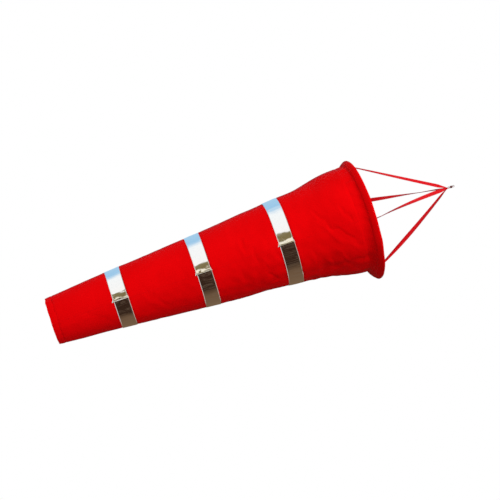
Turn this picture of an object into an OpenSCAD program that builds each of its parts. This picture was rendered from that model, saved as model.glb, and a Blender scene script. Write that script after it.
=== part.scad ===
// Windsock: a tapered cloth sock on a stiff mouth hoop, hung by four ribbons from a barrel swivel.
// Millimetres, +Z up. The origin is the centre of the swivel's upper eye, and the sock hangs down along -Z.

/* [Sock] */
// Length from the plane of the hoop to the tail edge
sock_length = 800; // [760:10:900]
// Outside radius at the tail edge
tail_r = 58; // [52:1:64]
// Growth in radius for each millimetre from the tail
taper = 0.0811; // [0.074:0.001:0.084]
// Extra radius gained at the shoulder behind the mouth
shoulder_rise = 13; // [8:0.5:14]
// Thickness of the cloth wall
cloth_t = 0.4; // [0.3:0.05:0.8]
// Width of the folded hem at the tail
hem_width = 14; // [8:1:20]

/* [Reflective bands] */
// Width of each reflective band
band_width = 38; // [25:1:50]
// Height of a band's outer face above the cloth
band_lip = 0.3; // [0.1:0.05:0.6]
// Distance from the tail edge to the middle of the first band
first_band = 174; // [150:1:190]
// Distance from one band's middle to the next
band_pitch = 210; // [195:1:212]

/* [Mouth hoop] */
// Radius of the circle along the middle of the rod
hoop_r = 147.5; // [146:0.5:152]
// Diameter of the hoop rod
rod_d = 6; // [4:0.5:7]
// Radius of the rounded edge of the sleeve over the rod
sleeve_r = 5; // [4.8:0.1:6]
// Length of the sleeve from the hoop back to its stitch line
sleeve_length = 26; // [22:1:34]
// Drop from the swivel's upper eye to the middle of the hoop
hoop_drop = 246; // [230:1:270]
// Sideways offset of the hoop from the line of the sock
hoop_shift = 8; // [0:0.5:9]
// Lean of the hoop about X, in degrees
hoop_lean_x = -3.5; // [-4:0.5:4]
// Lean of the hoop about Y, in degrees
hoop_lean_y = 1.8; // [-3:0.1:3]
// Length of the ferrule that joins the ends of the rod
ferrule_length = 36; // [24:1:50]

/* [Bridle] */
// Width of each ribbon
ribbon_width = 10; // [6:0.5:14]
// Thickness of each ribbon
ribbon_t = 0.8; // [0.5:0.1:1.2]
// Width of a ribbon where it is gathered into the binding
ribbon_gather = 2.6; // [2:0.1:3]
// Thickness of the doubled ribbon in the loop
loop_d = 0.9; // [0.6:0.05:0.9]
// Diameter of the binding below the loop
binding_d = 6.4; // [4.6:0.1:8]
// Height of the binding
binding_height = 4; // [3:0.5:8]

/* [Swivel] */
// Inside diameter of each eye
eye_bore_d = 3.2; // [3.2:0.1:4]
// Radial width of the metal around each eye
eye_rim = 1; // [0.8:0.1:1.4]
// Thickness of each eye along its bore
eye_t = 1; // [0.8:0.05:1]
// Outside diameter of the barrel
barrel_d = 6; // [4.2:0.1:6]
// Length of the barrel
barrel_length = 5; // [4.6:0.1:8]
// Diameter of the pin that turns in each end of the barrel
pin_d = 1.2; // [1:0.05:1.4]

/* [Hidden] */

$fn = 96;

// Gap left between two sewn edges that meet.
seam_gap = 0.3;
// Clearance around a part that is sealed inside another.
inner_clearance = 0.2;
// Radial clearance of the swivel pins.
pin_clearance = 0.05;
// Longest step between two rings of a cloth panel.
ring_step = 12;

tail_z = -hoop_drop - sock_length;
throat_s = sock_length - sleeve_length;
// The shoulder swells over this stretch, measured from the tail.
shoulder_start = sock_length - 160;
shoulder_end = sock_length - 40;
rod_r = rod_d / 2;

// Where each ribbon leaves the hoop, in degrees round it from -X towards -Y.
ribbon_angles = [13, 91, 193, 290];
// Each ribbon's turn away from lying flat on the hoop, first at the hoop, then at the binding.
ribbon_turns = [[3, 48], [72, 165], [-14, 129], [18, -132]];
// Above 1, a ribbon does most of its turning near the hoop.
ribbon_easing = 1.5;
// Where a ribbon passes the sleeve's inner side, inwards and downwards from the middle of the rod.
ribbon_passes = [5.7, 3.8];
// Gap from there to the ribbon's square end, which is free to turn.
foot_gap = 9;
// The share of a ribbon's length over which it narrows into the binding.
gather_share = 0.07;

eye_r = eye_bore_d / 2 + eye_rim;
pin_r = pin_d / 2;
head_r = pin_r + 0.7;
head_height = 0.8;
barrel_wall = 0.7;
barrel_top = -eye_r - 0.8;
barrel_bottom = barrel_top - barrel_length;
lower_eye_z = barrel_bottom + barrel_top;

// The loop clears the lower eye all round and stays off its bore.
loop_r = eye_t / 2 + loop_d / 2 + 0.65;
loop_top = lower_eye_z - eye_bore_d / 2 + 0.2 + loop_d / 2;
loop_arc_z = loop_top - loop_r;
binding_top = loop_arc_z - 1.2;
binding_bottom = binding_top - binding_height;

// A step that leaves 0 and reaches 1 with no corner.
function smooth(t) = let (u = min(1, max(0, t))) u * u * (3 - 2 * u);

// Outside radius of the cloth at a distance s from the tail.
function sock_r(s) =
    tail_r + taper * s + shoulder_rise * smooth((s - shoulder_start) / (shoulder_end - shoulder_start));

// Distances from the tail at which a panel has a ring.
function stations(a, b) =
    let (n = ceil((b - a) / ring_step))
    [for (i = [0 : n]) a + (b - a) * i / n];

// A point given in the hoop's own frame, moved to where the hoop hangs.
function at_hoop(p) =
    let (
        y1 = p[1] * cos(hoop_lean_x) - p[2] * sin(hoop_lean_x),
        z1 = p[1] * sin(hoop_lean_x) + p[2] * cos(hoop_lean_x)
    )
    [
        p[0] * cos(hoop_lean_y) + z1 * sin(hoop_lean_y) + hoop_shift,
        y1,
        -p[0] * sin(hoop_lean_y) + z1 * cos(hoop_lean_y) - hoop_drop
    ];

function unit(v) = v / norm(v);

// A round of cloth between two distances from the tail, following the sock's outline.
module cloth_ring(a, b, lip = 0) {
    outer = [for (s = stations(a, b)) [sock_r(s) + lip, tail_z + s]];
    inner = [for (s = stations(a, b)) [sock_r(s) - cloth_t, tail_z + s]];
    count = len(inner);
    rotate_extrude()
        polygon(concat(outer, [for (i = [1 : count]) inner[count - i]]));
}

// A red panel between two seams.
module panel(a, b) {
    color("red")
        cloth_ring(a + seam_gap / 2, b - seam_gap / 2);
}

function band_start(i) = first_band + (i - 1) * band_pitch - band_width / 2;
function band_end(i) = band_start(i) + band_width;

module band(i) {
    color("silver")
        cloth_ring(band_start(i) + seam_gap / 2, band_end(i) - seam_gap / 2, band_lip);
}

module tail_hem() {
    color("firebrick")
        cloth_ring(0, hem_width - seam_gap / 2, band_lip);
}

module in_hoop_frame() {
    translate([hoop_shift, 0, -hoop_drop])
        rotate([hoop_lean_x, hoop_lean_y, 0])
            children();
}

// Half the angle that the ferrule covers.
ferrule_half = ferrule_length / hoop_r * 90 / PI;

// The rod is one bent length whose ends meet inside the ferrule.
module mouth_hoop() {
    end_gap = 0.4;
    color("dimgray")
        in_hoop_frame()
            rotate([0, 0, end_gap])
                rotate_extrude(angle = 360 - 2 * end_gap)
                    translate([hoop_r, 0])
                        circle(r = rod_r);
}

module hoop_ferrule() {
    color("gray")
        in_hoop_frame()
            rotate([0, 0, -ferrule_half])
                rotate_extrude(angle = 2 * ferrule_half)
                    translate([hoop_r, 0])
                        difference() {
                            circle(r = rod_r + 0.7);
                            circle(r = rod_r + 0.1);
                        }
}

// The sleeve is a drop-shaped tube: its round edge holds the rod and its thin edge is sewn to panel 4.
// Both functions give points of the same index, so that joining them makes the skin.
sleeve_sides = 14;
sleeve_turns = 72;
function edge_point(turn, side) =
    let (a = 360 * turn / sleeve_turns, b = 360 * side / sleeve_sides)
    at_hoop([
        (hoop_r + sleeve_r * cos(b)) * cos(a),
        (hoop_r + sleeve_r * cos(b)) * sin(a),
        sleeve_r * sin(b)
    ]);
function stitch_point(turn, side) =
    let (a = 360 * turn / sleeve_turns, r = sock_r(throat_s) + (side == 0 ? 0.3 : -0.9))
    [r * cos(a), r * sin(a), tail_z + throat_s + seam_gap / 2];

// Sides of the drop that follow the round edge, from its outer shoulder over the top to its inner one.
first_side = -1;
last_side = 6;
function drop_points(turn) = concat(
    [for (side = [first_side : last_side]) edge_point(turn, side)],
    [stitch_point(turn, 1), stitch_point(turn, 0)]
);

module hoop_sleeve() {
    count = last_side - first_side + 3;
    points = [for (turn = [0 : sleeve_turns - 1]) each drop_points(turn)];
    faces = [
        for (turn = [0 : sleeve_turns - 1], i = [0 : count - 1])
            let (
                here = turn * count,
                next = ((turn + 1) % sleeve_turns) * count,
                j = (i + 1) % count
            )
            each [[here + i, here + j, next + i], [next + i, here + j, next + j]]
    ];
    color("crimson")
        difference() {
            polyhedron(points = points, faces = faces);
            in_hoop_frame()
                rotate_extrude()
                    translate([hoop_r, 0])
                        circle(r = rod_r + 0.7 + inner_clearance);
        }
}

// A ribbon turns about its own line from the hoop to the binding, and narrows at the top.
ribbon_steps = 28;
module ribbon(i) {
    angle = ribbon_angles[i - 1];
    turns = ribbon_turns[i - 1];
    away = [-cos(angle), -sin(angle), 0];
    passes = at_hoop(away * (hoop_r - ribbon_passes[0]) - [0, 0, ribbon_passes[1]]);
    top = away * (binding_d / 2 - 0.7) + [0, 0, binding_bottom - seam_gap];
    along = unit(top - passes);
    foot = passes + along * foot_gap;
    flat_way = unit(cross(along, away));
    thick_way = cross(along, flat_way);
    corners = [[-1, -1], [1, -1], [1, 1], [-1, 1]];
    points = [
        for (k = [0 : ribbon_steps], c = corners)
            let (
                t = k / ribbon_steps,
                turn = turns[0] + (turns[1] - turns[0]) * (1 - pow(1 - t, ribbon_easing)),
                narrow = smooth((t - 1 + gather_share) / gather_share),
                width = ribbon_width + (ribbon_gather - ribbon_width) * narrow,
                wide = flat_way * cos(turn) + thick_way * sin(turn),
                thick = thick_way * cos(turn) - flat_way * sin(turn)
            )
            foot + (top - foot) * t + wide * c[0] * width / 2 + thick * c[1] * ribbon_t / 2
    ];
    sides = [
        for (k = [0 : ribbon_steps - 1], c = [0 : 3])
            let (a = 4 * k + c, b = 4 * k + (c + 1) % 4)
            each [[a, b, a + 4], [a + 4, b, b + 4]]
    ];
    last = 4 * ribbon_steps;
    ends = [[0, 3, 2], [0, 2, 1], [last, last + 1, last + 2], [last, last + 2, last + 3]];
    color("tomato")
        polyhedron(points = points, faces = [for (f = concat(sides, ends)) [f[0], f[2], f[1]]]);
}

// An eye with its pin and the head that keeps it in the barrel. It points down.
module eye_and_pin() {
    pin_length = barrel_wall - barrel_top + 0.1;
    difference() {
        union() {
            rotate([90, 0, 0])
                cylinder(r = eye_r, h = eye_t, center = true);
            translate([0, 0, -pin_length])
                cylinder(r = pin_r, h = pin_length - eye_bore_d / 2 - eye_rim / 2);
            translate([0, 0, -pin_length - head_height])
                cylinder(r = head_r, h = head_height);
        }
        rotate([90, 0, 0])
            cylinder(r = eye_bore_d / 2, h = eye_t + 2, center = true);
    }
}

module swivel_upper_eye() {
    color("saddlebrown")
        eye_and_pin();
}

module swivel_lower_eye() {
    color("saddlebrown")
        translate([0, 0, lower_eye_z])
            mirror([0, 0, 1])
                eye_and_pin();
}

module swivel_barrel() {
    hole_r = pin_r + pin_clearance;
    cavity_r = head_r + 0.15;
    bevel = 0.5;
    color("sienna")
        rotate_extrude()
            polygon([
                [hole_r, barrel_top],
                [barrel_d / 2 - bevel, barrel_top],
                [barrel_d / 2, barrel_top - bevel],
                [barrel_d / 2, barrel_bottom + bevel],
                [barrel_d / 2 - bevel, barrel_bottom],
                [hole_r, barrel_bottom],
                [hole_r, barrel_bottom + barrel_wall],
                [cavity_r, barrel_bottom + barrel_wall],
                [cavity_r, barrel_top - barrel_wall],
                [hole_r, barrel_top - barrel_wall]
            ]);
}

// The loop goes through the lower eye and comes down on both sides of it.
module bridle_loop() {
    leg = loop_arc_z - binding_top - seam_gap / 2;
    color("tomato")
        union() {
            translate([0, 0, loop_arc_z])
                rotate([90, 0, 90])
                    rotate_extrude(angle = 180)
                        translate([loop_r, 0])
                            circle(r = loop_d / 2);
            for (side = [-1, 1])
                translate([0, side * loop_r, loop_arc_z - leg])
                    cylinder(r = loop_d / 2, h = leg);
        }
}

module bridle_binding() {
    bevel = 0.6;
    r = binding_d / 2;
    color("darkred")
        rotate_extrude()
            polygon([
                [0, binding_bottom],
                [r - bevel, binding_bottom],
                [r, binding_bottom + bevel],
                [r, binding_top - bevel],
                [r - bevel, binding_top],
                [0, binding_top]
            ]);
}

swivel_upper_eye();
swivel_barrel();
swivel_lower_eye();
bridle_loop();
bridle_binding();
ribbon(1);  // ribbon_1
ribbon(2);  // ribbon_2
ribbon(3);  // ribbon_3
ribbon(4);  // ribbon_4
mouth_hoop();
hoop_ferrule();
hoop_sleeve();
panel(hem_width, band_start(1));  // panel_1
panel(band_end(1), band_start(2));  // panel_2
panel(band_end(2), band_start(3));  // panel_3
panel(band_end(3), throat_s);  // panel_4
band(1);  // band_1
band(2);  // band_2
band(3);  // band_3
tail_hem();
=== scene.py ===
"""Looks for the hanging windsock: cloth panels, mirror film bands, sleeve, ribbons, thread and swivel.

Metres, in the frame of the CAD model. The sock hangs along -Z. Angles round it are measured in degrees from
-X towards -Y, so that 90 is the side that the camera sees and where the lengthwise seam lies.
"""

import math
from collections import namedtuple

import bpy
import numpy as np
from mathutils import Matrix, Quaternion, Vector


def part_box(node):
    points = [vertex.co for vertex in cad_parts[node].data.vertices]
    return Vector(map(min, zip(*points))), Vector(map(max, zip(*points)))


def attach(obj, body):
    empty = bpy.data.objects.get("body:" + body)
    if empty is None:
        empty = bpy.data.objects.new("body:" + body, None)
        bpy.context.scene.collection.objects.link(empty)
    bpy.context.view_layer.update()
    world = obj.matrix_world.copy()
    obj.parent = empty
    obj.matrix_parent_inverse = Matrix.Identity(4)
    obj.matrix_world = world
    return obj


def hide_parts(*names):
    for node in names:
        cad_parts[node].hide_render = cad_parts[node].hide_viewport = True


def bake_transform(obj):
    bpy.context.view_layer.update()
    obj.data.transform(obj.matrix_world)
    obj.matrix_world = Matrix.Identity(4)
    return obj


MM = 0.001

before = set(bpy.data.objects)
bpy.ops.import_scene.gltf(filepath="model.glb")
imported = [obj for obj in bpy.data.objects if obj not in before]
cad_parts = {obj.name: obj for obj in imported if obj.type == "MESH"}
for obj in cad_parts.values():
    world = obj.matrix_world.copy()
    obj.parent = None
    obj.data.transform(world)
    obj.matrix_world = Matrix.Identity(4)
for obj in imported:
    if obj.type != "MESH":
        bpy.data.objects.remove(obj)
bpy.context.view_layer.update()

# ---------------------------------------------------------------- driving sizes

PANELS = ["panel_1", "panel_2", "panel_3", "panel_4"]
BANDS = ["band_1", "band_2", "band_3"]
# The body that each band's film is attached to.
BAND_BODIES = {"band_3": "upper_round", "band_2": "middle_round", "band_1": "lower_round"}

SEAM_ANGLE = 90
CELL = 2.2 * MM
COLUMNS = 400

# Neighbouring rounds of cloth reach this far past their shared seam.
SEAM_REACH = 0.15 * MM
# The lengthwise seam: half its width, and how far its row of stitches lies from its middle.
SEAM_HALF_WIDTH = 5 * MM
SEAM_STITCH_OFFSET = 3.6 * MM
# How far the rows of stitches round the sock lie from a panel's edges and from the hem's upper edge.
PANEL_STITCH_INSET = 2.6 * MM
HEM_STITCH_INSET = 1.4 * MM
# How far the lengthwise row of stitches stops short of a panel's edges.
SEAM_STITCH_SHORT = 2 * MM

THREAD_D = 0.45 * MM
STITCH_LENGTH = 3.0 * MM
STITCH_PITCH = 4.2 * MM

# How far each ribbon's middle bows towards +X.
RIBBON_BOW = {"ribbon_1": 0.3 * MM, "ribbon_2": -2.4 * MM, "ribbon_3": 4.2 * MM, "ribbon_4": 1.0 * MM}
RIBBON_WIDTH = 10 * MM
RIBBON_T = 0.5 * MM
# The ribbons crumple together over this length, to this share of their width.
GATHER_LENGTH = 24 * MM
GATHER_SHARE = 0.42


# ---------------------------------------------------------------- readings of the CAD frame

def cad_points(node):
    """The vertices of a CAD node, one row each."""
    return np.array([v.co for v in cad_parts[node].data.vertices], float)


def read_outline():
    """Heights and outside radii of the CAD cloth, from the tail up."""
    widest = {}
    for node in ["tail_hem"] + PANELS + BANDS:
        for x, y, z in cad_points(node):
            key = round(z, 4)
            widest[key] = max(widest.get(key, 0), math.hypot(x, y))
    heights = sorted(widest)
    return np.array(heights), np.array([widest[h] for h in heights])


def read_hoop():
    """Centre, normal and radius of the circle along the middle of the rod."""
    points = cad_points("mouth_hoop")
    centre = (points.min(axis=0) + points.max(axis=0)) / 2
    normal = np.linalg.svd(points - points.mean(axis=0), full_matrices=False)[2][2]
    normal = normal * np.sign(normal[2])
    away = np.linalg.norm(points - centre, axis=1)
    return centre, normal, (away.min() + away.max()) / 2


OUTLINE_Z, OUTLINE_R = read_outline()
HOOP_CENTRE, HOOP_NORMAL, HOOP_R = read_hoop()
TAIL_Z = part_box("tail_hem")[0][2]
THROAT_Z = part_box("panel_4")[1][2]


def span(node):
    """Lowest and highest point of a CAD node."""
    low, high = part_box(node)
    return low[2], high[2]


def around(angle):
    """Unit direction across the sock at an angle in degrees."""
    a = np.radians(angle)
    return np.stack([-np.cos(a), -np.sin(a), np.zeros_like(a)], axis=-1)


# ---------------------------------------------------------------- the shape of the cloth

# A fold's start and end are places on the cloth: (millimetres up from the tail, degrees round the sock).
# Width and height are in millimetres, and a negative height is a valley.
Fold = namedtuple("Fold", "start end width height")

FOLDS = [
    # The long slack trough low on the panel behind the mouth.
    Fold((637, 143), (694, 141), 12, -1.3),
    Fold((694, 141), (738, 137), 11, -1.7),
    Fold((738, 137), (782, 134), 12, -2.0),
    Fold((667, 160), (770, 158), 10, 0.7),
    Fold((690, 128), (700, 139), 6, -0.8),
    Fold((716, 126), (724, 136), 6, 0.8),
    Fold((655, 128), (668, 141), 7, -0.8),
    # Soft creases that slant down towards the hoop.
    Fold((682, 66), (710, 90), 4, -1.5),
    Fold((710, 90), (752, 108), 4.5, -1.3),
    Fold((687, 84), (715, 104), 5, 0.8),
    Fold((715, 104), (760, 124), 6, 0.7),
    Fold((744, 70), (755, 89), 4, -1.4),
    Fold((740, 106), (768, 120), 6, -0.8),
    Fold((648, 112), (645, 138), 7, -1.0),
    Fold((672, 122), (686, 139), 8, 0.9),
    Fold((700, 116), (722, 131), 7, 0.6),
    # The panel between the second and third bands has soft creases that run round it.
    Fold((492, 64), (496, 82), 5, -0.8),
    Fold((501, 64), (497, 77), 5, 0.5),
    Fold((479, 70), (487, 88), 6, 0.7),
    Fold((515, 84), (518, 105), 5, -0.9),
    Fold((535, 82), (530, 104), 6, 0.8),
    Fold((527, 101), (530, 114), 5, -0.7),
    Fold((555, 97), (567, 113), 5, -0.9),
    Fold((535, 125), (550, 139), 4, -1.2),
    Fold((539, 145), (554, 142), 5, 0.9),
    Fold((472, 104), (469, 124), 6, -0.8),
    Fold((453, 98), (451, 118), 7, 0.7),
    Fold((493, 104), (491, 126), 7, 0.8),
    # Faint ones nearer the tail.
    Fold((237, 94), (275, 125), 6, -0.6),
    Fold((230, 100), (262, 128), 7, 0.4),
    Fold((312, 62), (340, 78), 9, -0.4),
    Fold((87, 98), (134, 130), 7, -0.5),
    Fold((30, 44), (62, 57), 6, -0.4),
    Fold((20, 112), (100, 104), 8, 0.4),
    # The far side, which hangs the same way.
    Fold((640, 218), (790, 226), 10, -2.4),
    Fold((700, 262), (740, 290), 6, -1.1),
    Fold((716, 300), (690, 330), 6, 0.9),
    Fold((748, 240), (720, 268), 6, 1.0),
    Fold((540, 250), (514, 284), 6, -1.0),
    Fold((522, 292), (548, 316), 6, 0.9),
    Fold((470, 226), (486, 262), 7, -0.8),
    Fold((300, 240), (262, 280), 9, -0.6),
    Fold((120, 262), (60, 276), 7, -0.5),
]

# The slack sock's middle line strays towards +X by so many millimetres. Heights are in millimetres up from
# the tail.
SWAY_HEIGHTS = (0, 60, 120, 420, 510, 740, 774)
SWAY = (4.2, 3.6, 2.2, 2.2, -1.5, -1.8, 0)
# The air in the sock fills it out by so many millimetres at the tail and at the shoulder.
FULLNESS = (0.6, 1.5)


def fade(t):
    """A step from 0 to 1 with no corner, for t from 0 to 1."""
    t = np.clip(t, 0, 1)
    return t * t * (3 - 2 * t)


def lowness(turn):
    """0 at the -X side of the sock and 1 at its +X side, for angles in degrees."""
    return (1 - np.cos(np.radians(turn))) / 2


# The girth, in metres, that turns a ripple's length into a whole number of waves round the sock.
RIPPLE_GIRTH = 2 * math.pi * 0.1


def ripples(angle, height, seed, waves, longest, shortest):
    """Smooth unevenness of about unit size, the same on every run, that closes up round the sock.

    It adds up waves whose lengths, in metres, lie between longest and shortest.
    """
    rng = np.random.default_rng(seed)
    total = np.zeros(np.broadcast(angle, height).shape)
    for _ in range(waves):
        length = longest * (shortest / longest) ** rng.random()
        lean = rng.uniform(-math.pi, math.pi)
        turns = round(RIPPLE_GIRTH / length * math.cos(lean))
        climb = 2 * math.pi / length * math.sin(lean)
        total += np.cos(turns * np.radians(angle) + climb * height + rng.uniform(0, 2 * math.pi))
    return total / math.sqrt(waves / 2)


# Folds wander off their straight lines by so many millimetres.
FOLD_WANDER = 2.6
# A fold keeps its height this far each way from its middle and fades over this much more. Both are shares of
# its length.
FOLD_BODY = 0.35
FOLD_TAPER = 0.3


def fold_relief(angle, height):
    """How far the folds lift the cloth, in metres."""
    up = (height - TAIL_Z) / MM + FOLD_WANDER * ripples(angle, height, 51, 12, 0.10, 0.03)
    aside = FOLD_WANDER * ripples(angle, height, 53, 12, 0.10, 0.03)
    reach = np.interp(height, OUTLINE_Z, OUTLINE_R) / MM
    lift = np.zeros(np.broadcast(angle, height).shape)
    for fold in FOLDS:
        along = np.array([fold.end[0] - fold.start[0], math.radians(fold.end[1] - fold.start[1])])
        mean_r = float(np.interp((fold.start[0] + fold.end[0]) / 2 * MM + TAIL_Z, OUTLINE_Z, OUTLINE_R)) / MM
        long = np.array([along[0], along[1] * mean_r])
        length = np.linalg.norm(long)
        du = up - fold.start[0]
        dv = np.radians(angle - fold.start[1]) * reach + aside
        t = (du * long[0] + dv * long[1]) / length**2
        off = (du * long[1] - dv * long[0]) / length
        beyond = np.maximum(np.abs(t - 0.5) - FOLD_BODY, 0) / FOLD_TAPER
        lift += fold.height * np.exp(-((off / fold.width) ** 2) - beyond**2)
    return lift * MM


def edge_distance(height):
    """Distance from a height to the nearest seam that runs round the sock."""
    edges = [z for node in BANDS + ["tail_hem"] for z in span(node)] + [THROAT_Z]
    return np.min([np.abs(height - z) for z in edges], axis=0)


def seam_distance(angle, height):
    """Distance round the sock from the lengthwise seam, positive below it in the camera's view."""
    return np.radians(angle - SEAM_ANGLE) * np.interp(height, OUTLINE_Z, OUTLINE_R)


# Broad billows and small slack ripples in the cloth: their size at the tail and what the mouth adds to it.
BILLOW = (0.15 * MM, 0.45 * MM)
SLACK = (0.06 * MM, 0.42 * MM)
# Puckers beside the seams that run round the sock: their size, how far they reach, and how steep they are
# along the sock as a share of how steep they are round it.
PUCKER = 0.14 * MM
PUCKER_REACH = 8 * MM
PUCKER_STRETCH = 0.4
# How deep and how wide the dip at those seams is.
DIP_DEPTH = 0.7 * MM
DIP_WIDTH = 2.2 * MM


def cloth_relief(angle, height):
    """How far the real cloth stands off its plain outline, in metres."""
    near_mouth = fade((height - TAIL_Z) / (THROAT_Z - TAIL_Z))
    edge = edge_distance(height)
    lift = fold_relief(angle, height)
    lift = lift + (BILLOW[0] + BILLOW[1] * near_mouth) * ripples(angle, height, 5, 14, 0.20, 0.07)
    slack = SLACK[0] + SLACK[1] * near_mouth * lowness(angle)
    lift = lift + slack * ripples(angle, height, 8, 24, 0.05, 0.018)
    pucker = PUCKER * np.exp(-edge / PUCKER_REACH)
    lift = lift + pucker * ripples(angle, height * PUCKER_STRETCH, 11, 18, 0.030, 0.012)
    lift = lift - DIP_DEPTH * np.exp(-((edge / DIP_WIDTH) ** 2))
    return lift + seam_relief(angle, height)


# The lengthwise seam's doubled cloth: its height and the width of its step.
FELL_HEIGHT = 0.08 * MM
FELL_STEP = 0.8 * MM
# The small tucks beside its stitches: their height, how far they reach and how far apart they are.
TUCK_HEIGHT = 0.10 * MM
TUCK_REACH = 8 * MM
TUCK_PITCH = 17 * MM
# The groove that its stitches pull into the cloth: its depth and width.
GROOVED_DEPTH = 0.06 * MM
GROOVED_WIDTH = 0.7 * MM


def seam_relief(angle, height):
    """The doubled cloth of the lengthwise seam and the small tucks beside its stitches."""
    off = seam_distance(angle, height)
    felled = fade((off + SEAM_HALF_WIDTH) / FELL_STEP) * fade((SEAM_HALF_WIDTH - off) / FELL_STEP)
    tucks = np.exp(-np.abs(off) / TUCK_REACH) * np.cos(2 * math.pi * height / TUCK_PITCH)
    groove = np.exp(-(((off - SEAM_STITCH_OFFSET) / GROOVED_WIDTH) ** 2))
    return FELL_HEIGHT * felled + TUCK_HEIGHT * tucks - GROOVED_DEPTH * groove


def sway(height):
    """How far the middle of the sock strays towards +X, in metres."""
    up = (height - TAIL_Z) / MM
    return np.mean([np.interp(up + near, SWAY_HEIGHTS, SWAY) for near in (-16, -8, 0, 8, 16)], axis=0) * MM


def full_radius(height):
    """Radius of the sock with air in it, before any folds."""
    up = (height - TAIL_Z) / MM
    extra = np.interp(up, (0, 650), FULLNESS) * fade((705 - up) / 60) * MM
    return np.interp(height, OUTLINE_Z, OUTLINE_R) + extra


def place(angle, height, reach):
    """Points at angles round the sock, at heights and distances from its middle line."""
    point = around(np.broadcast_to(angle, reach.shape)) * reach[..., None]
    point[..., 0] += sway(height)
    point[..., 2] = height
    return point


def skin(angle, height, lift=0.0):
    """A point on the outside of the cloth."""
    height = np.asarray(height, float)
    return place(angle, height, full_radius(height) + cloth_relief(angle, height) + lift)


# ---------------------------------------------------------------- mesh makers

def new_object(name, vertices, faces, material, smooth=True):
    """A mesh object in the scene."""
    mesh = bpy.data.meshes.new(name)
    mesh.from_pydata([tuple(v) for v in vertices], [], faces)
    mesh.update()
    if smooth:
        mesh.shade_smooth()
    mesh.materials.append(material)
    obj = bpy.data.objects.new(name, mesh)
    bpy.context.scene.collection.objects.link(obj)
    return obj


def lattice(name, rows, material, loop_columns=True):
    """A surface through rows of points. Its UV map is in metres along and across the cloth."""
    count, columns = rows.shape[:2]
    last_row = count - 1
    last_column = columns if loop_columns else columns - 1
    faces = [
        (
            r * columns + c,
            r * columns + (c + 1) % columns,
            (r + 1) * columns + (c + 1) % columns,
            (r + 1) * columns + c,
        )
        for r in range(last_row)
        for c in range(last_column)
    ]
    obj = new_object(name, rows.reshape(-1, 3), faces, material)
    step_u = np.linalg.norm(rows - np.roll(rows, -1, axis=1), axis=2).mean()
    step_v = np.linalg.norm(rows - np.roll(rows, -1, axis=0), axis=2)[:-1].mean()
    layer = obj.data.uv_layers.new(name="cloth")
    corners = [
        (u * step_u, v * step_v)
        for r in range(last_row)
        for c in range(last_column)
        for u, v in ((c, r), (c + 1, r), (c + 1, r + 1), (c, r + 1))
    ]
    layer.data.foreach_set("uv", np.array(corners, np.float32).ravel())
    return obj


def face_outwards(obj):
    """Turns a surface's faces so that they look away from the sock's middle line."""
    mesh = obj.data
    total = sum(p.normal.x * p.center.x + p.normal.y * p.center.y for p in mesh.polygons)
    if total < 0:
        mesh.flip_normals()
        mesh.update()
    return obj


def sweep(name, path, across, section, material):
    """A closed section carried along a path. across gives the section's first axis at each point."""
    path = np.asarray(path, float)
    ahead = np.roll(path, -1, axis=0) - np.roll(path, 1, axis=0)
    ahead[0] = path[1] - path[0]
    ahead[-1] = path[-1] - path[-2]
    ahead /= np.linalg.norm(ahead, axis=1)[:, None]
    first = across - (across * ahead).sum(axis=1)[:, None] * ahead
    first /= np.linalg.norm(first, axis=1)[:, None]
    second = np.cross(ahead, first)
    section = np.asarray(section, float)
    if section.ndim == 2:
        section = np.broadcast_to(section, (len(path),) + section.shape)
    rows = path[:, None] + section[..., :1] * first[:, None] + section[..., 1:] * second[:, None]
    obj = lattice(name, rows, material)
    close_ends(obj, len(path), section.shape[1])
    return obj


def close_ends(obj, rows, columns):
    """Adds a flat cap to each end of a swept piece."""
    mesh = obj.data
    uv = np.zeros(len(mesh.loops) * 2, np.float32)
    mesh.uv_layers["cloth"].data.foreach_get("uv", uv)
    faces = [tuple(p.vertices) for p in mesh.polygons]
    faces += [tuple(range(columns))[::-1], tuple(range((rows - 1) * columns, rows * columns))]
    vertices = [tuple(v.co) for v in mesh.vertices]
    material = mesh.materials[0]
    mesh.clear_geometry()
    mesh.from_pydata(vertices, [], faces)
    mesh.shade_smooth()
    if not mesh.materials:
        mesh.materials.append(material)
    layer = mesh.uv_layers.get("cloth") or mesh.uv_layers.new(name="cloth")
    padded = np.zeros(len(mesh.loops) * 2, np.float32)
    padded[: len(uv)] = uv
    layer.data.foreach_set("uv", padded)
    mesh.update()


def ring_section(radius, sides=10):
    """Points of a round section."""
    a = np.linspace(0, 2 * math.pi, sides, endpoint=False)
    return np.stack([radius * np.cos(a), radius * np.sin(a)], axis=1)


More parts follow.
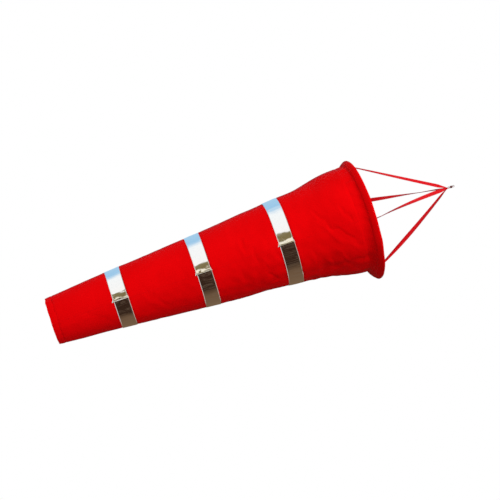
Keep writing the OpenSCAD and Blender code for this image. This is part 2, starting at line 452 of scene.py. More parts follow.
def stitches(name, path, outward, material, closed=True):
    """A row of separate thread stitches that lie along a path on the cloth."""
    path = np.asarray(path, float)
    if closed:
        path = np.vstack([path, path[:1]])
        outward = np.vstack([outward, outward[:1]])
    steps = np.linalg.norm(np.diff(path, axis=0), axis=1)
    at = np.concatenate([[0], np.cumsum(steps)])
    count = max(2, int(at[-1] / STITCH_PITCH))
    middles = (np.arange(count) + 0.5) * at[-1] / count
    rings = [(-1.0, 0.25), (-0.75, 0.9), (0.0, 1.0), (0.75, 0.9), (1.0, 0.25)]
    sides = 6
    vertices, faces = [], []
    for middle in middles:
        lay = [np.array([np.interp(middle + s, at, path[:, k]) for k in range(3)])
               for s in (-STITCH_LENGTH / 2, 0, STITCH_LENGTH / 2)]
        up = np.array([np.interp(middle, at, outward[:, k]) for k in range(3)])
        up /= np.linalg.norm(up)
        ahead = (lay[2] - lay[0]) / np.linalg.norm(lay[2] - lay[0])
        side = np.cross(up, ahead)
        base = len(vertices)
        for t, swell in rings:
            sink = up * THREAD_D * (0.30 - 0.45 * t * t)
            centre = lay[1] + ahead * t * STITCH_LENGTH / 2 + sink
            for k in range(sides):
                a = 2 * math.pi * k / sides
                r = THREAD_D / 2 * swell
                vertices.append(centre + (side * math.cos(a) + up * math.sin(a)) * r)
        for ring in range(len(rings) - 1):
            for k in range(sides):
                a, b = base + ring * sides + k, base + ring * sides + (k + 1) % sides
                faces.append((a, b, b + sides, a + sides))
        faces.append(tuple(base + k for k in range(sides))[::-1])
        faces.append(tuple(base + (len(rings) - 1) * sides + k for k in range(sides)))
    return new_object(name, vertices, faces, material)


# ---------------------------------------------------------------- materials

class Nodes:
    """Short ways to add and join shader nodes."""

    def __init__(self, tree):
        self.tree = tree
        self.tree.nodes.clear()

    def add(self, kind, **settings):
        node = self.tree.nodes.new(kind)
        for key, value in settings.items():
            if key in node.inputs:
                node.inputs[key].default_value = value
            else:
                setattr(node, key, value)
        return node

    def join(self, source, target):
        self.tree.links.new(source, target)

    def math(self, operation, first, second=None):
        """A Math node on sockets or numbers."""
        node = self.add("ShaderNodeMath", operation=operation)
        for index, value in enumerate((first, second)):
            if value is None:
                continue
            if isinstance(value, (int, float)):
                node.inputs[index].default_value = value
            else:
                self.join(value, node.inputs[index])
        return node.outputs[0]

    def mix(self, share, first, second):
        """A colour mix of two colours or sockets."""
        node = self.add("ShaderNodeMix", data_type="RGBA")
        for socket, value in zip((node.inputs[0], node.inputs[6], node.inputs[7]), (share, first, second)):
            if isinstance(value, (int, float)):
                socket.default_value = value
            elif isinstance(value, tuple):
                socket.default_value = (*value, 1)
            else:
                self.join(value, socket)
        return node.outputs[2]

    def spread(self, value, low, high, to_low=0.0, to_high=1.0):
        """A Map Range node."""
        node = self.add("ShaderNodeMapRange")
        self.join(value, node.inputs[0])
        for index, number in enumerate((low, high, to_low, to_high)):
            node.inputs[index + 1].default_value = number
        return node.outputs[0]

    def coords(self, kind="Object"):
        """The coordinates of the surface in its object, or another kind of them."""
        return self.add("ShaderNodeTexCoord").outputs[kind]

    def noise(self, vector, **settings):
        """Noise along a vector socket, from 0 to 1."""
        node = self.add("ShaderNodeTexNoise", **settings)
        self.join(vector, node.inputs["Vector"])
        return node.outputs["Fac"]

    def painted_edge_on_shade(self, tone, dark, start, full, share):
        """A tone that turns towards a dark one, up to a share, where the surface is seen edge on: painted
        shade at the silhouettes.
        """
        edge_on = self.add("ShaderNodeLayerWeight", Blend=0.5)
        return self.mix(self.spread(edge_on.outputs["Facing"], start, full, 0.0, share), tone, dark)


def new_material(name):
    """A material with a Principled shader, and its node helper."""
    material = bpy.data.materials.new(name)
    material.use_nodes = True
    nodes = Nodes(material.node_tree)
    shader = nodes.add("ShaderNodeBsdfPrincipled")
    output = nodes.add("ShaderNodeOutputMaterial")
    nodes.join(shader.outputs[0], output.inputs["Surface"])
    return material, nodes, shader


def bump(nodes, shader, height, distance, strength=1.0):
    """Joins a height in metres to the shader's normal."""
    node = nodes.add("ShaderNodeBump")
    node.inputs["Strength"].default_value = strength
    node.inputs["Distance"].default_value = distance
    nodes.join(height, node.inputs["Height"])
    nodes.join(node.outputs[0], shader.inputs["Normal"])


def weave_height(nodes, pitch):
    """Height of crossed threads from 0 to 1, with the cloth's UV output and the node that splits it."""
    uv = nodes.add("ShaderNodeUVMap", uv_map="cloth")
    split = nodes.add("ShaderNodeSeparateXYZ")
    nodes.join(uv.outputs[0], split.inputs[0])
    waves = [
        nodes.math("SINE", nodes.math("MULTIPLY", split.outputs[axis], math.pi / pitch))
        for axis in (0, 1)
    ]
    return nodes.math("ABSOLUTE", nodes.math("MULTIPLY", waves[0], waves[1])), uv.outputs[0], split


def red_nylon(name="red_nylon", light=(0.80, 0.0007, 0.002), deep=(0.73, 0.0004, 0.0015)):
    """Thin coated nylon: a fine plain weave with a sparse heavier grid and crinkles, with painted shade where
    it is seen edge on.
    """
    material, nodes, shader = new_material(name)
    weave, uv, split = weave_height(nodes, 0.45 * MM)
    cloud = nodes.noise(uv, Scale=9.0, Detail=4.0, Roughness=0.55)
    crinkle = nodes.noise(uv, Scale=140.0, Detail=5.0, Roughness=0.6)
    grid = [
        nodes.math("POWER", nodes.math("ABSOLUTE", nodes.math(
            "COSINE", nodes.math("MULTIPLY", split.outputs[axis], math.pi / (6 * MM)))), 60.0)
        for axis in (0, 1)
    ]
    ribs = nodes.math("MAXIMUM", grid[0], grid[1])
    tone = nodes.mix(nodes.spread(cloud, 0.35, 0.65), light, deep)
    tone = nodes.mix(nodes.math("MULTIPLY", ribs, 0.10), tone, deep)
    # Painted shade: the colour turns towards a quarter of the deep tone where the cloth is seen edge on.
    tone = nodes.painted_edge_on_shade(tone, tuple(0.25 * c for c in deep), 0.68, 0.98, 0.55)
    nodes.join(tone, shader.inputs["Base Color"])
    nodes.join(nodes.spread(crinkle, 0.3, 0.7, 0.46, 0.60), shader.inputs["Roughness"])
    shader.inputs["Specular IOR Level"].default_value = 0.015
    height = nodes.math("ADD", nodes.math("MULTIPLY", weave, 0.25), nodes.math("MULTIPLY", ribs, 0.5))
    height = nodes.math("ADD", height, nodes.math("MULTIPLY", crinkle, 1.6))
    bump(nodes, shader, height, 0.22 * MM, 0.7)
    return material


def ribbon_red():
    """Ribbed ribbon: fine ribs across it, with painted shade, almost black, where it is seen edge on."""
    material, nodes, shader = new_material("red_ribbon")
    weave, uv, split = weave_height(nodes, 0.6 * MM)
    ribs = nodes.math("ABSOLUTE", nodes.math(
        "SINE", nodes.math("MULTIPLY", split.outputs[1], math.pi / (0.9 * MM))))
    fuzz = nodes.noise(uv, Scale=400.0, Detail=3.0)
    patchy = nodes.spread(fuzz, 0.35, 0.65)
    tone = nodes.mix(patchy, (0.74, 0.006, 0.012), (0.60, 0.003, 0.008))
    # Painted shade: the ribbon's colour turns nearly black where it is seen edge on.
    tone = nodes.painted_edge_on_shade(tone, (0.06, 0.003, 0.006), 0.45, 0.9, 0.8)
    nodes.join(tone, shader.inputs["Base Color"])
    shader.inputs["Roughness"].default_value = 0.5
    shader.inputs["Specular IOR Level"].default_value = 0.15
    height = nodes.math("ADD", nodes.math("MULTIPLY", weave, 0.4), ribs)
    bump(nodes, shader, height, 0.12 * MM, 0.8)
    return material


def thread_red():
    """Twisted sewing thread."""
    material, nodes, shader = new_material("red_thread")
    twist = nodes.add("ShaderNodeTexWave", Scale=900.0, Distortion=1.0)
    nodes.join(nodes.coords(), twist.inputs["Vector"])
    tone = nodes.mix(twist.outputs["Fac"], (0.60, 0.001, 0.003), (0.70, 0.001, 0.004))
    nodes.join(tone, shader.inputs["Base Color"])
    shader.inputs["Roughness"].default_value = 0.6
    shader.inputs["Specular IOR Level"].default_value = 0.1
    bump(nodes, shader, twist.outputs["Fac"], 0.05 * MM)
    return material


def silver_film():
    """Metallised film, almost a mirror, with the slight waves and scuffs of a sewn strip."""
    material, nodes, shader = new_material("silver_film")
    wave = nodes.noise(nodes.coords(), Scale=26.0, Detail=2.0, Roughness=0.4)
    scuff = nodes.noise(nodes.coords(), Scale=320.0, Detail=4.0, Roughness=0.7)
    tone = nodes.mix(nodes.spread(scuff, 0.4, 0.7), (0.96, 0.96, 0.96), (0.88, 0.89, 0.90))
    nodes.join(tone, shader.inputs["Base Color"])
    nodes.join(nodes.spread(scuff, 0.35, 0.75, 0.03, 0.10), shader.inputs["Roughness"])
    shader.inputs["Metallic"].default_value = 1.0
    bump(nodes, shader, wave, 1.2 * MM, 0.35)
    return material


def aged_metal(name, base, worn, roughness, metallic):
    """Aged or coated metal: darker in patches, brighter where it is rubbed."""
    material, nodes, shader = new_material(name)
    patch = nodes.noise(nodes.coords(), Scale=700.0, Detail=4.0)
    shape = nodes.add("ShaderNodeNewGeometry")
    rub = nodes.spread(shape.outputs["Pointiness"], 0.5, 0.6)
    tone = nodes.mix(nodes.spread(patch, 0.35, 0.65), base, tuple(0.6 * c for c in base))
    nodes.join(nodes.mix(rub, tone, worn), shader.inputs["Base Color"])
    rough = nodes.spread(patch, 0.3, 0.7, roughness, roughness + 0.2)
    nodes.join(rough, shader.inputs["Roughness"])
    shader.inputs["Metallic"].default_value = metallic
    bump(nodes, shader, patch, 0.05 * MM)
    return material


def rod_plastic():
    """Glass-fibre rod with a fine mottle."""
    material, nodes, shader = new_material("hoop_rod")
    grain = nodes.noise(nodes.coords(), Scale=500.0, Detail=3.0)
    tone = nodes.mix(grain, (0.72, 0.70, 0.62), (0.60, 0.58, 0.50))
    nodes.join(tone, shader.inputs["Base Color"])
    shader.inputs["Roughness"].default_value = 0.45
    bump(nodes, shader, grain, 0.05 * MM)
    return material


NYLON = red_nylon()
# Painted shade: the sleeve gets a slightly darker copy of the red nylon, standing in for the shade on and
# around its groove.
SHADED_SLEEVE_NYLON = red_nylon("sleeve_nylon", (0.77, 0.0007, 0.002), (0.69, 0.0004, 0.0015))
RIBBON = ribbon_red()
THREAD = thread_red()
FILM = silver_film()
SWIVEL = aged_metal("swivel_metal", (0.11, 0.010, 0.014), (0.22, 0.07, 0.06), 0.45, 0.35)
FERRULE = aged_metal("ferrule_metal", (0.62, 0.62, 0.64), (0.80, 0.80, 0.80), 0.28, 1.0)
ROD = rod_plastic()


# ---------------------------------------------------------------- pieces

def angles(count=COLUMNS):
    """Degrees round the sock, starting on its far side so that the ends meet away from the camera."""
    return np.linspace(0, 360, count, endpoint=False) - 90


def rows_between(low, high):
    """Heights from low to high, about a cell apart."""
    return np.linspace(low, high, max(3, int((high - low) / CELL)))


def seam_stitches(name, low, high):
    """The line of stitches down the lengthwise seam between two heights."""
    heights = rows_between(low, high)
    off = np.degrees(SEAM_STITCH_OFFSET / np.interp(heights, OUTLINE_Z, OUTLINE_R))
    line = skin(SEAM_ANGLE + off, heights)
    outward = around(np.full(len(heights), float(SEAM_ANGLE)))
    return stitches(name, line, outward, THREAD, closed=False)


def ring_stitches(name, height):
    """A line of stitches round the sock at one height."""
    turn = angles()
    return stitches(name, skin(turn, np.full(len(turn), height)), around(turn), THREAD)


def make_panel(node):
    """One red round of cloth with its seam and edge stitches."""
    low, high = span(node)
    turn = angles()[None, :]
    heights = rows_between(low - SEAM_REACH, high + SEAM_REACH)[:, None]
    cloth = face_outwards(lattice(node + "_cloth", skin(turn, heights + 0 * turn), NYLON))
    line = seam_stitches(node + "_seam", low + SEAM_STITCH_SHORT, high - SEAM_STITCH_SHORT)
    pieces = [cloth, line]
    pieces.append(ring_stitches(node + "_low_stitches", low + PANEL_STITCH_INSET))
    if node != "panel_4":
        pieces.append(ring_stitches(node + "_high_stitches", high - PANEL_STITCH_INSET))
    for piece in pieces:
        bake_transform(piece)
    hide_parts(node)


# The film's upper end laps this many degrees past the seam.
LAP_ANGLE = 2.0
# It is wider by this much at its lower and its upper edge, close to its end.
LAP_WIDER = (3.6 * MM, 2.6 * MM)
LAP_WIDER_REACH = 5 * MM
# Its lip and the strip behind it stand off, and it hangs lower towards its end.
LIP_LIFT = 0.9 * MM
LIP_REACH = 1.4 * MM
LAP_LIFT = 0.35 * MM
LAP_LIFT_REACH = 20 * MM
LAP_HANG = 1.2 * MM
LAP_HANG_REACH = 120 * MM
# The film stands off the cloth between its two sewn edges.
FILM_LIFT = 0.35 * MM
FILM_EDGE = 1.6 * MM
FILM_T = 0.25 * MM
# Puckers near the lap, and the unevenness of the whole strip.
FILM_PUCKER = 0.06 * MM
FILM_PUCKER_REACH = 45 * MM
FILM_WAVER = 0.14 * MM


def make_band(node):
    """A strip of silver film whose two ends lap at the seam, the upper end a little wider and on top."""
    low, high = span(node)
    r = float(np.interp((low + high) / 2, OUTLINE_Z, OUTLINE_R))
    turn = np.linspace(SEAM_ANGLE - 360, SEAM_ANGLE + LAP_ANGLE, COLUMNS)
    off = np.radians(SEAM_ANGLE + LAP_ANGLE - turn) * r
    wider = np.exp(-((off / LAP_WIDER_REACH) ** 2))
    lip = np.exp(-((off / LIP_REACH) ** 2))
    across = np.linspace(0, 1, 19)[:, None]
    drift = LAP_HANG * (fade(off / LAP_HANG_REACH) - 1)
    start = low - LAP_WIDER[0] * wider + drift
    end = high + LAP_WIDER[1] * wider + drift
    heights = start + (end - start) * across
    edge = np.minimum(across, 1 - across) * (high - low)
    lift = FILM_LIFT * fade(edge / FILM_EDGE) + LIP_LIFT * lip + LAP_LIFT * np.exp(-off / LAP_LIFT_REACH)
    puckers = np.exp(-off / FILM_PUCKER_REACH) * ripples(turn, heights, 23, 16, 0.022, 0.010)
    reach = full_radius(heights) + lift + FILM_PUCKER * puckers
    reach = reach + FILM_WAVER * ripples(turn, heights, 21, 12, 0.12, 0.03)
    rows = place(turn, heights, reach)
    film = face_outwards(lattice(node + "_film", rows, FILM, loop_columns=False))
    thick = film.modifiers.new("thickness", "SOLIDIFY")
    thick.thickness = FILM_T
    thick.offset = -1
    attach(film, BAND_BODIES[node])
    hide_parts(node)


# How far the hem's rolled edge hangs below the flat hem, and the radius of the roll.
HEM_DROP = 2.6 * MM
HEM_ROLL_R = 1.5 * MM
# How far the hem swells out towards its rolled edge, and how far it wavers up and down.
HEM_SWELL = 0.35 * MM
HEM_WAVER = 0.5 * MM
# Rows down each face of the hem.
HEM_ROWS = 8


def make_hem():
    """The tail's folded hem: down the outside, round the edge and up the inside."""
    low, high = span("tail_hem")
    fold_r = HEM_ROLL_R
    low -= HEM_DROP
    turn = angles()[None, :]
    outside = np.linspace(high + SEAM_REACH, low + fold_r, HEM_ROWS)
    bend = np.radians(np.linspace(0, 180, 7)[1:-1])
    heights = np.concatenate([outside, low + fold_r - fold_r * np.sin(bend), outside[::-1]])
    rolled = fold_r * (1 - np.cos(bend))
    inward = np.concatenate([np.zeros(HEM_ROWS), rolled, np.full(HEM_ROWS, 2 * fold_r)])
    swell = HEM_SWELL * np.sin(np.linspace(0, math.pi, len(heights)))
    shape = skin(turn, heights[:, None] + 0 * turn, (swell - inward)[:, None])
    shape[..., 2] += HEM_WAVER * ripples(turn, np.zeros_like(turn), 31, 10, 0.12, 0.04)
    hem = face_outwards(lattice("tail_hem_cloth", shape, NYLON))
    line = ring_stitches("tail_hem_stitches", high - HEM_STITCH_INSET)
    for piece in (hem, line):
        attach(piece, "tail")
    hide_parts("tail_hem")


def hoop_axes(turn):
    """Outward directions in the plane of the hoop, and the rod's middle line, at angles in degrees."""
    out = around(turn)
    out = out - (out @ HOOP_NORMAL)[..., None] * HOOP_NORMAL
    out /= np.linalg.norm(out, axis=-1)[..., None]
    return out, HOOP_CENTRE + HOOP_R * out


# The casing's reach outwards, up and down from the middle of the rod, how square it is above the rod, and how
# far inwards its stitched groove lies. Each is given at the top (-X) and at the bottom (+X) of the mouth.
CASING_OUT = (4.7 * MM, 4.9 * MM)
CASING_UP = (5.2 * MM, 4.9 * MM)
CASING_SQUARENESS = (3.2, 2.0)
GROOVE_INWARDS = (5.6 * MM, 8.2 * MM)
# How far below the middle of the rod the groove lies, and how square the casing is below the rod.
GROOVE_DEPTH = 12 * MM
CASING_LOWER_SQUARENESS = 2.0
# The casing's section starts and ends at the groove, at these degrees from straight outwards.
CASING_FROM_TO = (-82, 254)
# How far gathers stand up on the outer flare, the inner flare and the casing, and the casing's own wobble.
FLARE_GATHERS = 0.7 * MM
LINING_GATHERS = 0.6 * MM
CASING_GATHERS = 0.20 * MM
CASING_WOBBLE = 0.20 * MM
# The inner flare lies this far inside the outer one, and starts this far below the groove.
LINING_GAP = 1.0 * MM
LINING_DROP = 0.6 * MM
# The flare runs straight out at the bottom of the mouth and hugs the sock before it steps out at the top.
FLARE_POWERS = (8.0, 1.35)


def down_the_mouth(values, turn):
    """A value that goes smoothly from the top of the mouth to its bottom, at angles in degrees."""
    return values[0] + (values[1] - values[0]) * lowness(turn)


def flare_power(turn):
    """How late the flare steps out from the throat to the groove, at angles in degrees."""
    share = lowness(turn)
    return FLARE_POWERS[0] ** (1 - share) * FLARE_POWERS[1] ** share


def sleeve_profile(turn):
    """Rows of points across the sleeve: up the outer flare, round the rod and down the inner flare."""
    out, rod = hoop_axes(turn)
    up = np.broadcast_to(HOOP_NORMAL, out.shape)
    throat = skin(turn, np.full(len(turn), THROAT_Z + SEAM_REACH))
    radial = around(turn)
    gathers = ripples(turn, np.zeros(len(turn)), 41, 40, 0.030, 0.012)
    wobble = ripples(turn, np.zeros(len(turn)), 43, 16, 0.10, 0.03)
    inwards = down_the_mouth(GROOVE_INWARDS, turn)
    groove = rod - out * inwards[:, None] - up * GROOVE_DEPTH
    power = flare_power(turn)
    rows = []
    for t in np.linspace(0, 1, 26)[:-1]:
        rise = (t ** power)[:, None]
        tuck = FLARE_GATHERS * math.sin(math.pi * t * 0.9) * gathers
        line = throat * (1 - rise) + groove * rise + radial * tuck[:, None]
        line[:, 2] = throat[:, 2] * (1 - t) + groove[:, 2] * t
        rows.append(line)
    wide = down_the_mouth(CASING_OUT, turn)
    for side in np.radians(np.linspace(*CASING_FROM_TO, 40)):
        above = math.sin(side) > 0
        square = down_the_mouth(CASING_SQUARENESS, turn) if above else CASING_LOWER_SQUARENESS
        tall = down_the_mouth(CASING_UP, turn) if above else GROOVE_DEPTH - 0.5 * MM
        reach = (abs(math.cos(side)) ** square + abs(math.sin(side)) ** square) ** (-1 / square)
        pinch = CASING_GATHERS * max(0.0, -math.sin(side)) * gathers + CASING_WOBBLE * wobble
        upwards = (tall * reach + pinch) * math.sin(side)
        lean = inwards * np.maximum(0, -upwards / GROOVE_DEPTH)
        outwards = (wide * reach + pinch) * math.cos(side) - lean
        rows.append(rod + outwards[:, None] * out + upwards[:, None] * up)
    for t in np.linspace(0, 1, 14):
        rise = ((1 - t) ** power)[:, None]
        tuck = LINING_GATHERS * math.sin(math.pi * t) * gathers - LINING_GAP
        line = throat * (1 - rise) + groove * rise + radial * tuck[:, None]
        line[:, 2] = throat[:, 2] * t + (groove[:, 2] - LINING_DROP) * (1 - t)
        rows.append(line)
    return np.array(rows)


# The casing's row of stitches: how far outside and above the groove it lies.
CASING_STITCH_OUTSIDE = 1.6 * MM
CASING_STITCH_ABOVE = 0.8 * MM


def make_sleeve():
    """The cloth casing of the hoop, gathered onto its stitch line."""
    turn = angles(480)
    rows = sleeve_profile(turn)
    # The sleeve's cloth takes the darker nylon, which is painted shade.
    cloth = lattice("hoop_sleeve_cloth", rows, SHADED_SLEEVE_NYLON)
    out, rod = hoop_axes(turn)
    beside = down_the_mouth(GROOVE_INWARDS, turn) - CASING_STITCH_OUTSIDE
    line = rod - out * beside[:, None] - HOOP_NORMAL * (GROOVE_DEPTH - CASING_STITCH_ABOVE)
    row = stitches("hoop_sleeve_stitches", line, out - HOOP_NORMAL * 0.6, THREAD)
    for piece in (cloth, row):
        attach(piece, "mouth")
    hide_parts("hoop_sleeve")


def ribbon_rings(node):
    """Middle and wide direction of each ring of corners on a CAD ribbon, from the hoop to the binding."""
    points = np.unique(np.round(cad_points(node), 6), axis=0)
    along = np.linalg.svd(points - points.mean(axis=0), full_matrices=False)[2][0]
    along = along * np.sign(along[2])
    rings = points[np.argsort(points @ along)].reshape(-1, 4, 3)
    middles = rings.mean(axis=1)
    wide = [np.linalg.svd(ring - middle, full_matrices=False)[2][0] for ring, middle in zip(rings, middles)]
    for before, after in zip(wide, wide[1:]):
        after *= np.sign(after @ before)
    return middles, np.array(wide)


def resample(values, share, at):
    """Rows of values, known at some shares of a length, read at others."""
    return np.stack([np.interp(at, share, values[:, k]) for k in range(3)], axis=1)


# Where a ribbon passes the casing, inwards and downwards from the middle of the rod.
RIBBON_PASSES = np.array([5.7, 3.8]) * MM
# How much the ribbon's edges cup towards one face.
RIBBON_CUP = 1.1 * MM


def ribbon_root(angle):
    """The ribbon's way from its stitches in the groove to where it passes the casing."""
    out, rod = hoop_axes(np.array([angle]))
    stitched = np.array([down_the_mouth(GROOVE_INWARDS, angle), GROOVE_DEPTH])
    under = stitched + np.array([1.4, 0.2]) * MM
    beside = stitched + np.array([1.2, -2.0]) * MM
    way = [stitched, under, beside, 0.45 * beside + 0.55 * RIBBON_PASSES]
    return np.array([rod[0] - out[0] * inwards - HOOP_NORMAL * down for inwards, down in way])


def make_ribbon(node):
    """A flat ribbon that comes out of the sleeve's groove, turns on its way and is gathered at the top."""
    middles, wide = ribbon_rings(node)
    foot = middles[0]
    angle = math.degrees(math.atan2(HOOP_CENTRE[1] - foot[1], HOOP_CENTRE[0] - foot[0]))
    out = hoop_axes(np.array([angle]))[0]
    root = ribbon_root(angle)
    along = (middles[-1] - foot) / np.linalg.norm(middles[-1] - foot)
    lead = foot - along * np.linspace(8.4, 1.4, 5)[:, None] * MM
    at = np.linspace(0, 1, 120)
    bow = np.sin(math.pi * at)[:, None] * RIBBON_BOW[node] * np.array([1.0, 0, 0])
    rings_at = np.linspace(0, 1, len(middles))
    path = np.vstack([root, lead, resample(middles, rings_at, at) + bow])
    flat_way = np.cross(along, out[0])
    flat_way *= np.sign(flat_way @ wide[0])
    ease = fade(np.linspace(0, 1, 6))[1:, None]
    across = np.vstack([
        np.tile(flat_way, (len(root), 1)),
        flat_way * (1 - ease) + wide[0] * ease,
        resample(wide, rings_at, at),
    ])
    left = (1 - at) * np.linalg.norm(middles[-1] - foot)
    width = RIBBON_WIDTH * (GATHER_SHARE + (1 - GATHER_SHARE) * fade(left / GATHER_LENGTH))
    width = np.concatenate([np.full(len(root) + len(lead), RIBBON_WIDTH), width])
    edge = [(-1, 0), (-0.96, 0.8), (-0.5, 1), (0, 1), (0.5, 1), (0.96, 0.8)]
    sides = np.array(edge + [(-u, -v) for u, v in edge])
    section = sides[None] * np.stack([width / 2, np.full(len(width), RIBBON_T / 2)], axis=1)[:, None]
    section[..., 1] += RIBBON_CUP * (sides[:, 0] ** 2 - 0.4)
    ribbon = sweep(node + "_tape", path, across, section, RIBBON)
    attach(ribbon, "mouth")
    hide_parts(node)


def make_loop():
    """The loop of folded ribbon through the lower eye, a soft cord with a twist in it."""
    low, high = (np.array(corner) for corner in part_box("bridle_loop"))
    cord_d = high[0] - low[0]
    arc_r = (high[1] - low[1] - cord_d) / 2
    arc_z = high[2] - cord_d / 2 - arc_r
    a = np.radians(np.linspace(0, 180, 25))
    arc = np.stack([np.zeros(25), arc_r * np.cos(a), arc_z + arc_r * np.sin(a)], axis=1)
    down = np.linspace(arc_z, low[2] - 1.2 * MM, 6)[1:]
    legs = [np.stack([np.zeros(5), np.full(5, side * arc_r * 0.98), down], axis=1) for side in (1, -1)]
    path = np.vstack([legs[0][::-1], arc, legs[1]])
    twist = np.linspace(0, 5 * math.pi, len(path))
    lobes = ring_section(1.0, 16)
    turn = np.linspace(0, 2 * math.pi, 16, endpoint=False) + twist[:, None]
    swell = cord_d / 2 * (0.86 + 0.14 * np.cos(2 * turn))
    across = np.tile([1.0, 0, 0], (len(path), 1))
    loop = sweep("bridle_loop_cord", path, across, lobes[None] * swell[..., None], RIBBON)
    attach(loop, "mouth")
    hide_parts("bridle_loop")


# The binding's thread. It narrows towards the loop to this share of its width, and its core by this share.
COIL_D = 0.6 * MM
COIL_NARROWS_TO = 0.62
CORE_NARROWS_BY = 0.40


def make_binding():
    """Thread wound round the gathered ribbon ends, over a lumpy core that narrows towards the loop."""
    low, high = (np.array(corner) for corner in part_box("bridle_binding"))
    outer = (high[0] - low[0]) / 2
    turns = (high[2] - low[2] - COIL_D) / COIL_D
    a = np.linspace(0, 2 * math.pi * turns, int(turns * 28))
    climb = np.linspace(low[2] + COIL_D / 2, high[2] - COIL_D / 2, len(a))
    r = (outer - COIL_D / 2) * np.linspace(1, COIL_NARROWS_TO, len(a))
    path = np.stack([r * np.cos(a), r * np.sin(a), climb], axis=1)
    coil = sweep("bridle_binding_coil", path, path * [1, 1, 0], ring_section(COIL_D / 2, 8), THREAD)
    turn = np.linspace(0, 360, 48, endpoint=False)
    rows = []
    for t in np.linspace(0, 1, 12):
        lumps = 1 + 0.08 * np.cos(4 * np.radians(turn) + 0.6)
        ring = around(turn) * ((outer - 0.7 * COIL_D) * (1 - CORE_NARROWS_BY * t) * lumps)[:, None]
        ring[:, 2] = low[2] - 0.8 * MM + (high[2] - low[2] + 1.1 * MM) * t
        rows.append(ring)
    core = lattice("bridle_binding_core", np.array(rows), RIBBON)
    close_ends(core, 12, 48)
    for piece, slot in ((coil, "red_thread"), (core, "red_ribbon")):
        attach(piece, "mouth")
    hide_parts("bridle_binding")


def finish_cad_nodes():
    """Gives the hard CAD parts that stay their own finish."""
    for nodes, material in (
        (("swivel_upper_eye", "swivel_barrel", "swivel_lower_eye"), SWIVEL),
        (("mouth_hoop",), ROD),
        (("hoop_ferrule",), FERRULE),
    ):
        for node in nodes:
            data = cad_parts[node].data
            data.materials.clear()
            data.materials.append(material)


# ---------------------------------------------------------------- camera, light and floor

CAMERA_TARGET = Vector((-0.009, 0, -0.5335))
CAMERA_FORWARD = Vector((0.0357, 0.9963, 0.0781)).normalized()
CAMERA_DISTANCE = 3.827
CAMERA_LENS = 111.6
# The hanging sock is shown 18.4 degrees off level, so the camera rolls by the rest of a right angle.
CAMERA_ROLL = 71.6


def make_camera():
    """The camera, rolled so that the hanging sock lies across the frame."""
    data = bpy.data.cameras.new("camera")
    data.lens = CAMERA_LENS
    data.sensor_width = 36
    data.clip_end = 50
    camera = bpy.data.objects.new("camera", data)
    camera.location = CAMERA_TARGET - CAMERA_FORWARD * CAMERA_DISTANCE
    camera.rotation_mode = "QUATERNION"
    roll = Quaternion((0, 0, 1), math.radians(CAMERA_ROLL))
    camera.rotation_quaternion = CAMERA_FORWARD.to_track_quat("-Z", "Y") @ roll
    bpy.context.scene.collection.objects.link(camera)
    bpy.context.scene.camera = camera


def area_light(name, toward, distance, size, power):
    """A soft square light that looks at the middle of the sock and isn't mirrored in the film."""
    data = bpy.data.lights.new(name, "AREA")
    data.size = size
    data.energy = power
    light = bpy.data.objects.new(name, data)
    direction = Vector(toward).normalized()
    light.location = CAMERA_TARGET + direction * distance
    light.rotation_mode = "QUATERNION"
    light.rotation_quaternion = (-direction).to_track_quat("-Z", "Y")
    light.visible_glossy = False
    light.visible_camera = False
    bpy.context.scene.collection.objects.link(light)


# What the film mirrors, by the angle above (+) or below (-) straight back at the camera, in degrees.
SURROUNDINGS = [
    (-180, (0.20, 0.125, 0.07)),
    (-84, (0.150, 0.088, 0.048)),
    (-62, (0.034, 0.016, 0.009)),
    (-1, (0.034, 0.015, 0.009)),
    (1, (0.95, 0.86, 0.66)),
    (7, (0.95, 0.88, 0.72)),
    (10, (0.20, 0.15, 0.06)),
    (22, (0.24, 0.20, 0.10)),
    (27, (1.0, 0.98, 0.95)),
    (84, (0.97, 1.0, 1.0)),
    (112, (0.36, 0.62, 0.86)),
    (180, (0.42, 0.66, 0.86)),
]


def mirrored_surroundings(nodes, split, up):
    """Outdoor tones for the film: dark ground, a bright horizon and a blue sky, pale towards both ends."""
    coarse = nodes.noise(nodes.coords("Generated"), Scale=7.0, Detail=5.0, Roughness=0.65)
    back = nodes.math("MULTIPLY", split.outputs[1], -1.0)
    angle = nodes.math("ARCTAN2", up, back)
    angle = nodes.math("ADD", angle, nodes.spread(coarse, 0.3, 0.7, -0.09, 0.09))
    ramp = nodes.add("ShaderNodeValToRGB")
    nodes.join(nodes.spread(angle, -math.pi, math.pi), ramp.inputs[0])
    stops = ramp.color_ramp.elements
    while len(stops) < len(SURROUNDINGS):
        stops.new(0.5)
    for stop, (degrees, colour) in zip(stops, SURROUNDINGS):
        stop.position = (degrees + 180) / 360
        stop.color = (*colour, 1)
    patches = nodes.noise(nodes.coords("Generated"), Scale=16.0, Detail=4.0, Roughness=0.6)
    below = nodes.spread(angle, -0.10, 0.0, 1.0, 0.0)
    patchy = nodes.math("MULTIPLY", nodes.spread(patches, 0.48, 0.68), below)
    tones = nodes.mix(nodes.math("MULTIPLY", patchy, 0.55), ramp.outputs[0], (0.17, 0.115, 0.075))
    ends = nodes.spread(nodes.math("ABSOLUTE", split.outputs[2]), 0.30, 0.60, 0.0, 0.65)
    return nodes.mix(ends, tones, (0.80, 0.74, 0.66))


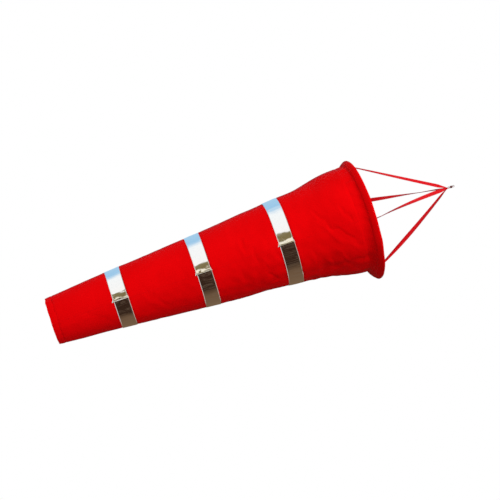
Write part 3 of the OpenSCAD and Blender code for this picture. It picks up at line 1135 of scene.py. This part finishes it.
def make_world():
    """White to the camera, a soft studio glow to the cloth, and outdoor surroundings to the mirror film."""
    world = bpy.data.worlds.new("world")
    bpy.context.scene.world = world
    world.use_nodes = True
    nodes = Nodes(world.node_tree)
    split = nodes.add("ShaderNodeSeparateXYZ")
    nodes.join(nodes.coords("Generated"), split.inputs[0])
    up = nodes.math("MULTIPLY", split.outputs[0], -1.0)
    mirrored = mirrored_surroundings(nodes, split, up)
    from_top = nodes.math("MULTIPLY", up, 0.6)
    from_mouth = nodes.math("MULTIPLY", split.outputs[2], 0.7)
    toward_light = nodes.math("ADD", from_top, from_mouth)
    glow = nodes.mix(nodes.spread(toward_light, -1.0, 1.0), (0.07, 0.07, 0.073), (0.68, 0.68, 0.69))
    rays = nodes.add("ShaderNodeLightPath")
    seen = nodes.mix(rays.outputs["Is Glossy Ray"], glow, mirrored)
    seen = nodes.mix(rays.outputs["Is Camera Ray"], seen, (1.0, 1.0, 1.0))
    background = nodes.add("ShaderNodeBackground")
    nodes.join(seen, background.inputs[0])
    output = nodes.add("ShaderNodeOutputWorld")
    nodes.join(background.outputs[0], output.inputs[0])


def make_floor():
    """A pale round floor well below the tail, which fades out at its rim."""
    radius = 1.2
    drop = 0.55
    turn = np.radians(np.linspace(0, 360, 96, endpoint=False))
    rim = np.stack([radius * np.cos(turn), radius * np.sin(turn), np.full(96, TAIL_Z - drop)], axis=1)
    material, nodes, shader = new_material("floor")
    shader.inputs["Base Color"].default_value = (0.86, 0.86, 0.86, 1)
    shader.inputs["Roughness"].default_value = 0.9
    flat = nodes.add("ShaderNodeVectorMath", operation="MULTIPLY")
    flat.inputs[1].default_value = (1, 1, 0)
    far = nodes.add("ShaderNodeVectorMath", operation="LENGTH")
    nodes.join(nodes.coords(), flat.inputs[0])
    nodes.join(flat.outputs[0], far.inputs[0])
    nodes.join(nodes.spread(far.outputs["Value"], radius * 0.35, radius, 1.0, 0.0), shader.inputs["Alpha"])
    floor = new_object("floor", rim, [tuple(range(96))], material, smooth=False)


# ---------------------------------------------------------------- putting it together

bpy.context.scene.view_settings.view_transform = "Standard"
make_camera()
make_world()
area_light("key", (-0.38, -0.80, 0.42), 3.6, 1.7, 83)
area_light("fill", (0.55, -0.80, 0.30), 3.0, 2.0, 11)
make_floor()
for panel_node in PANELS:
    make_panel(panel_node)
for band_node in BANDS:
    make_band(band_node)
make_hem()
make_sleeve()
for ribbon_node in RIBBON_BOW:
    make_ribbon(ribbon_node)
make_loop()
make_binding()
finish_cad_nodes()
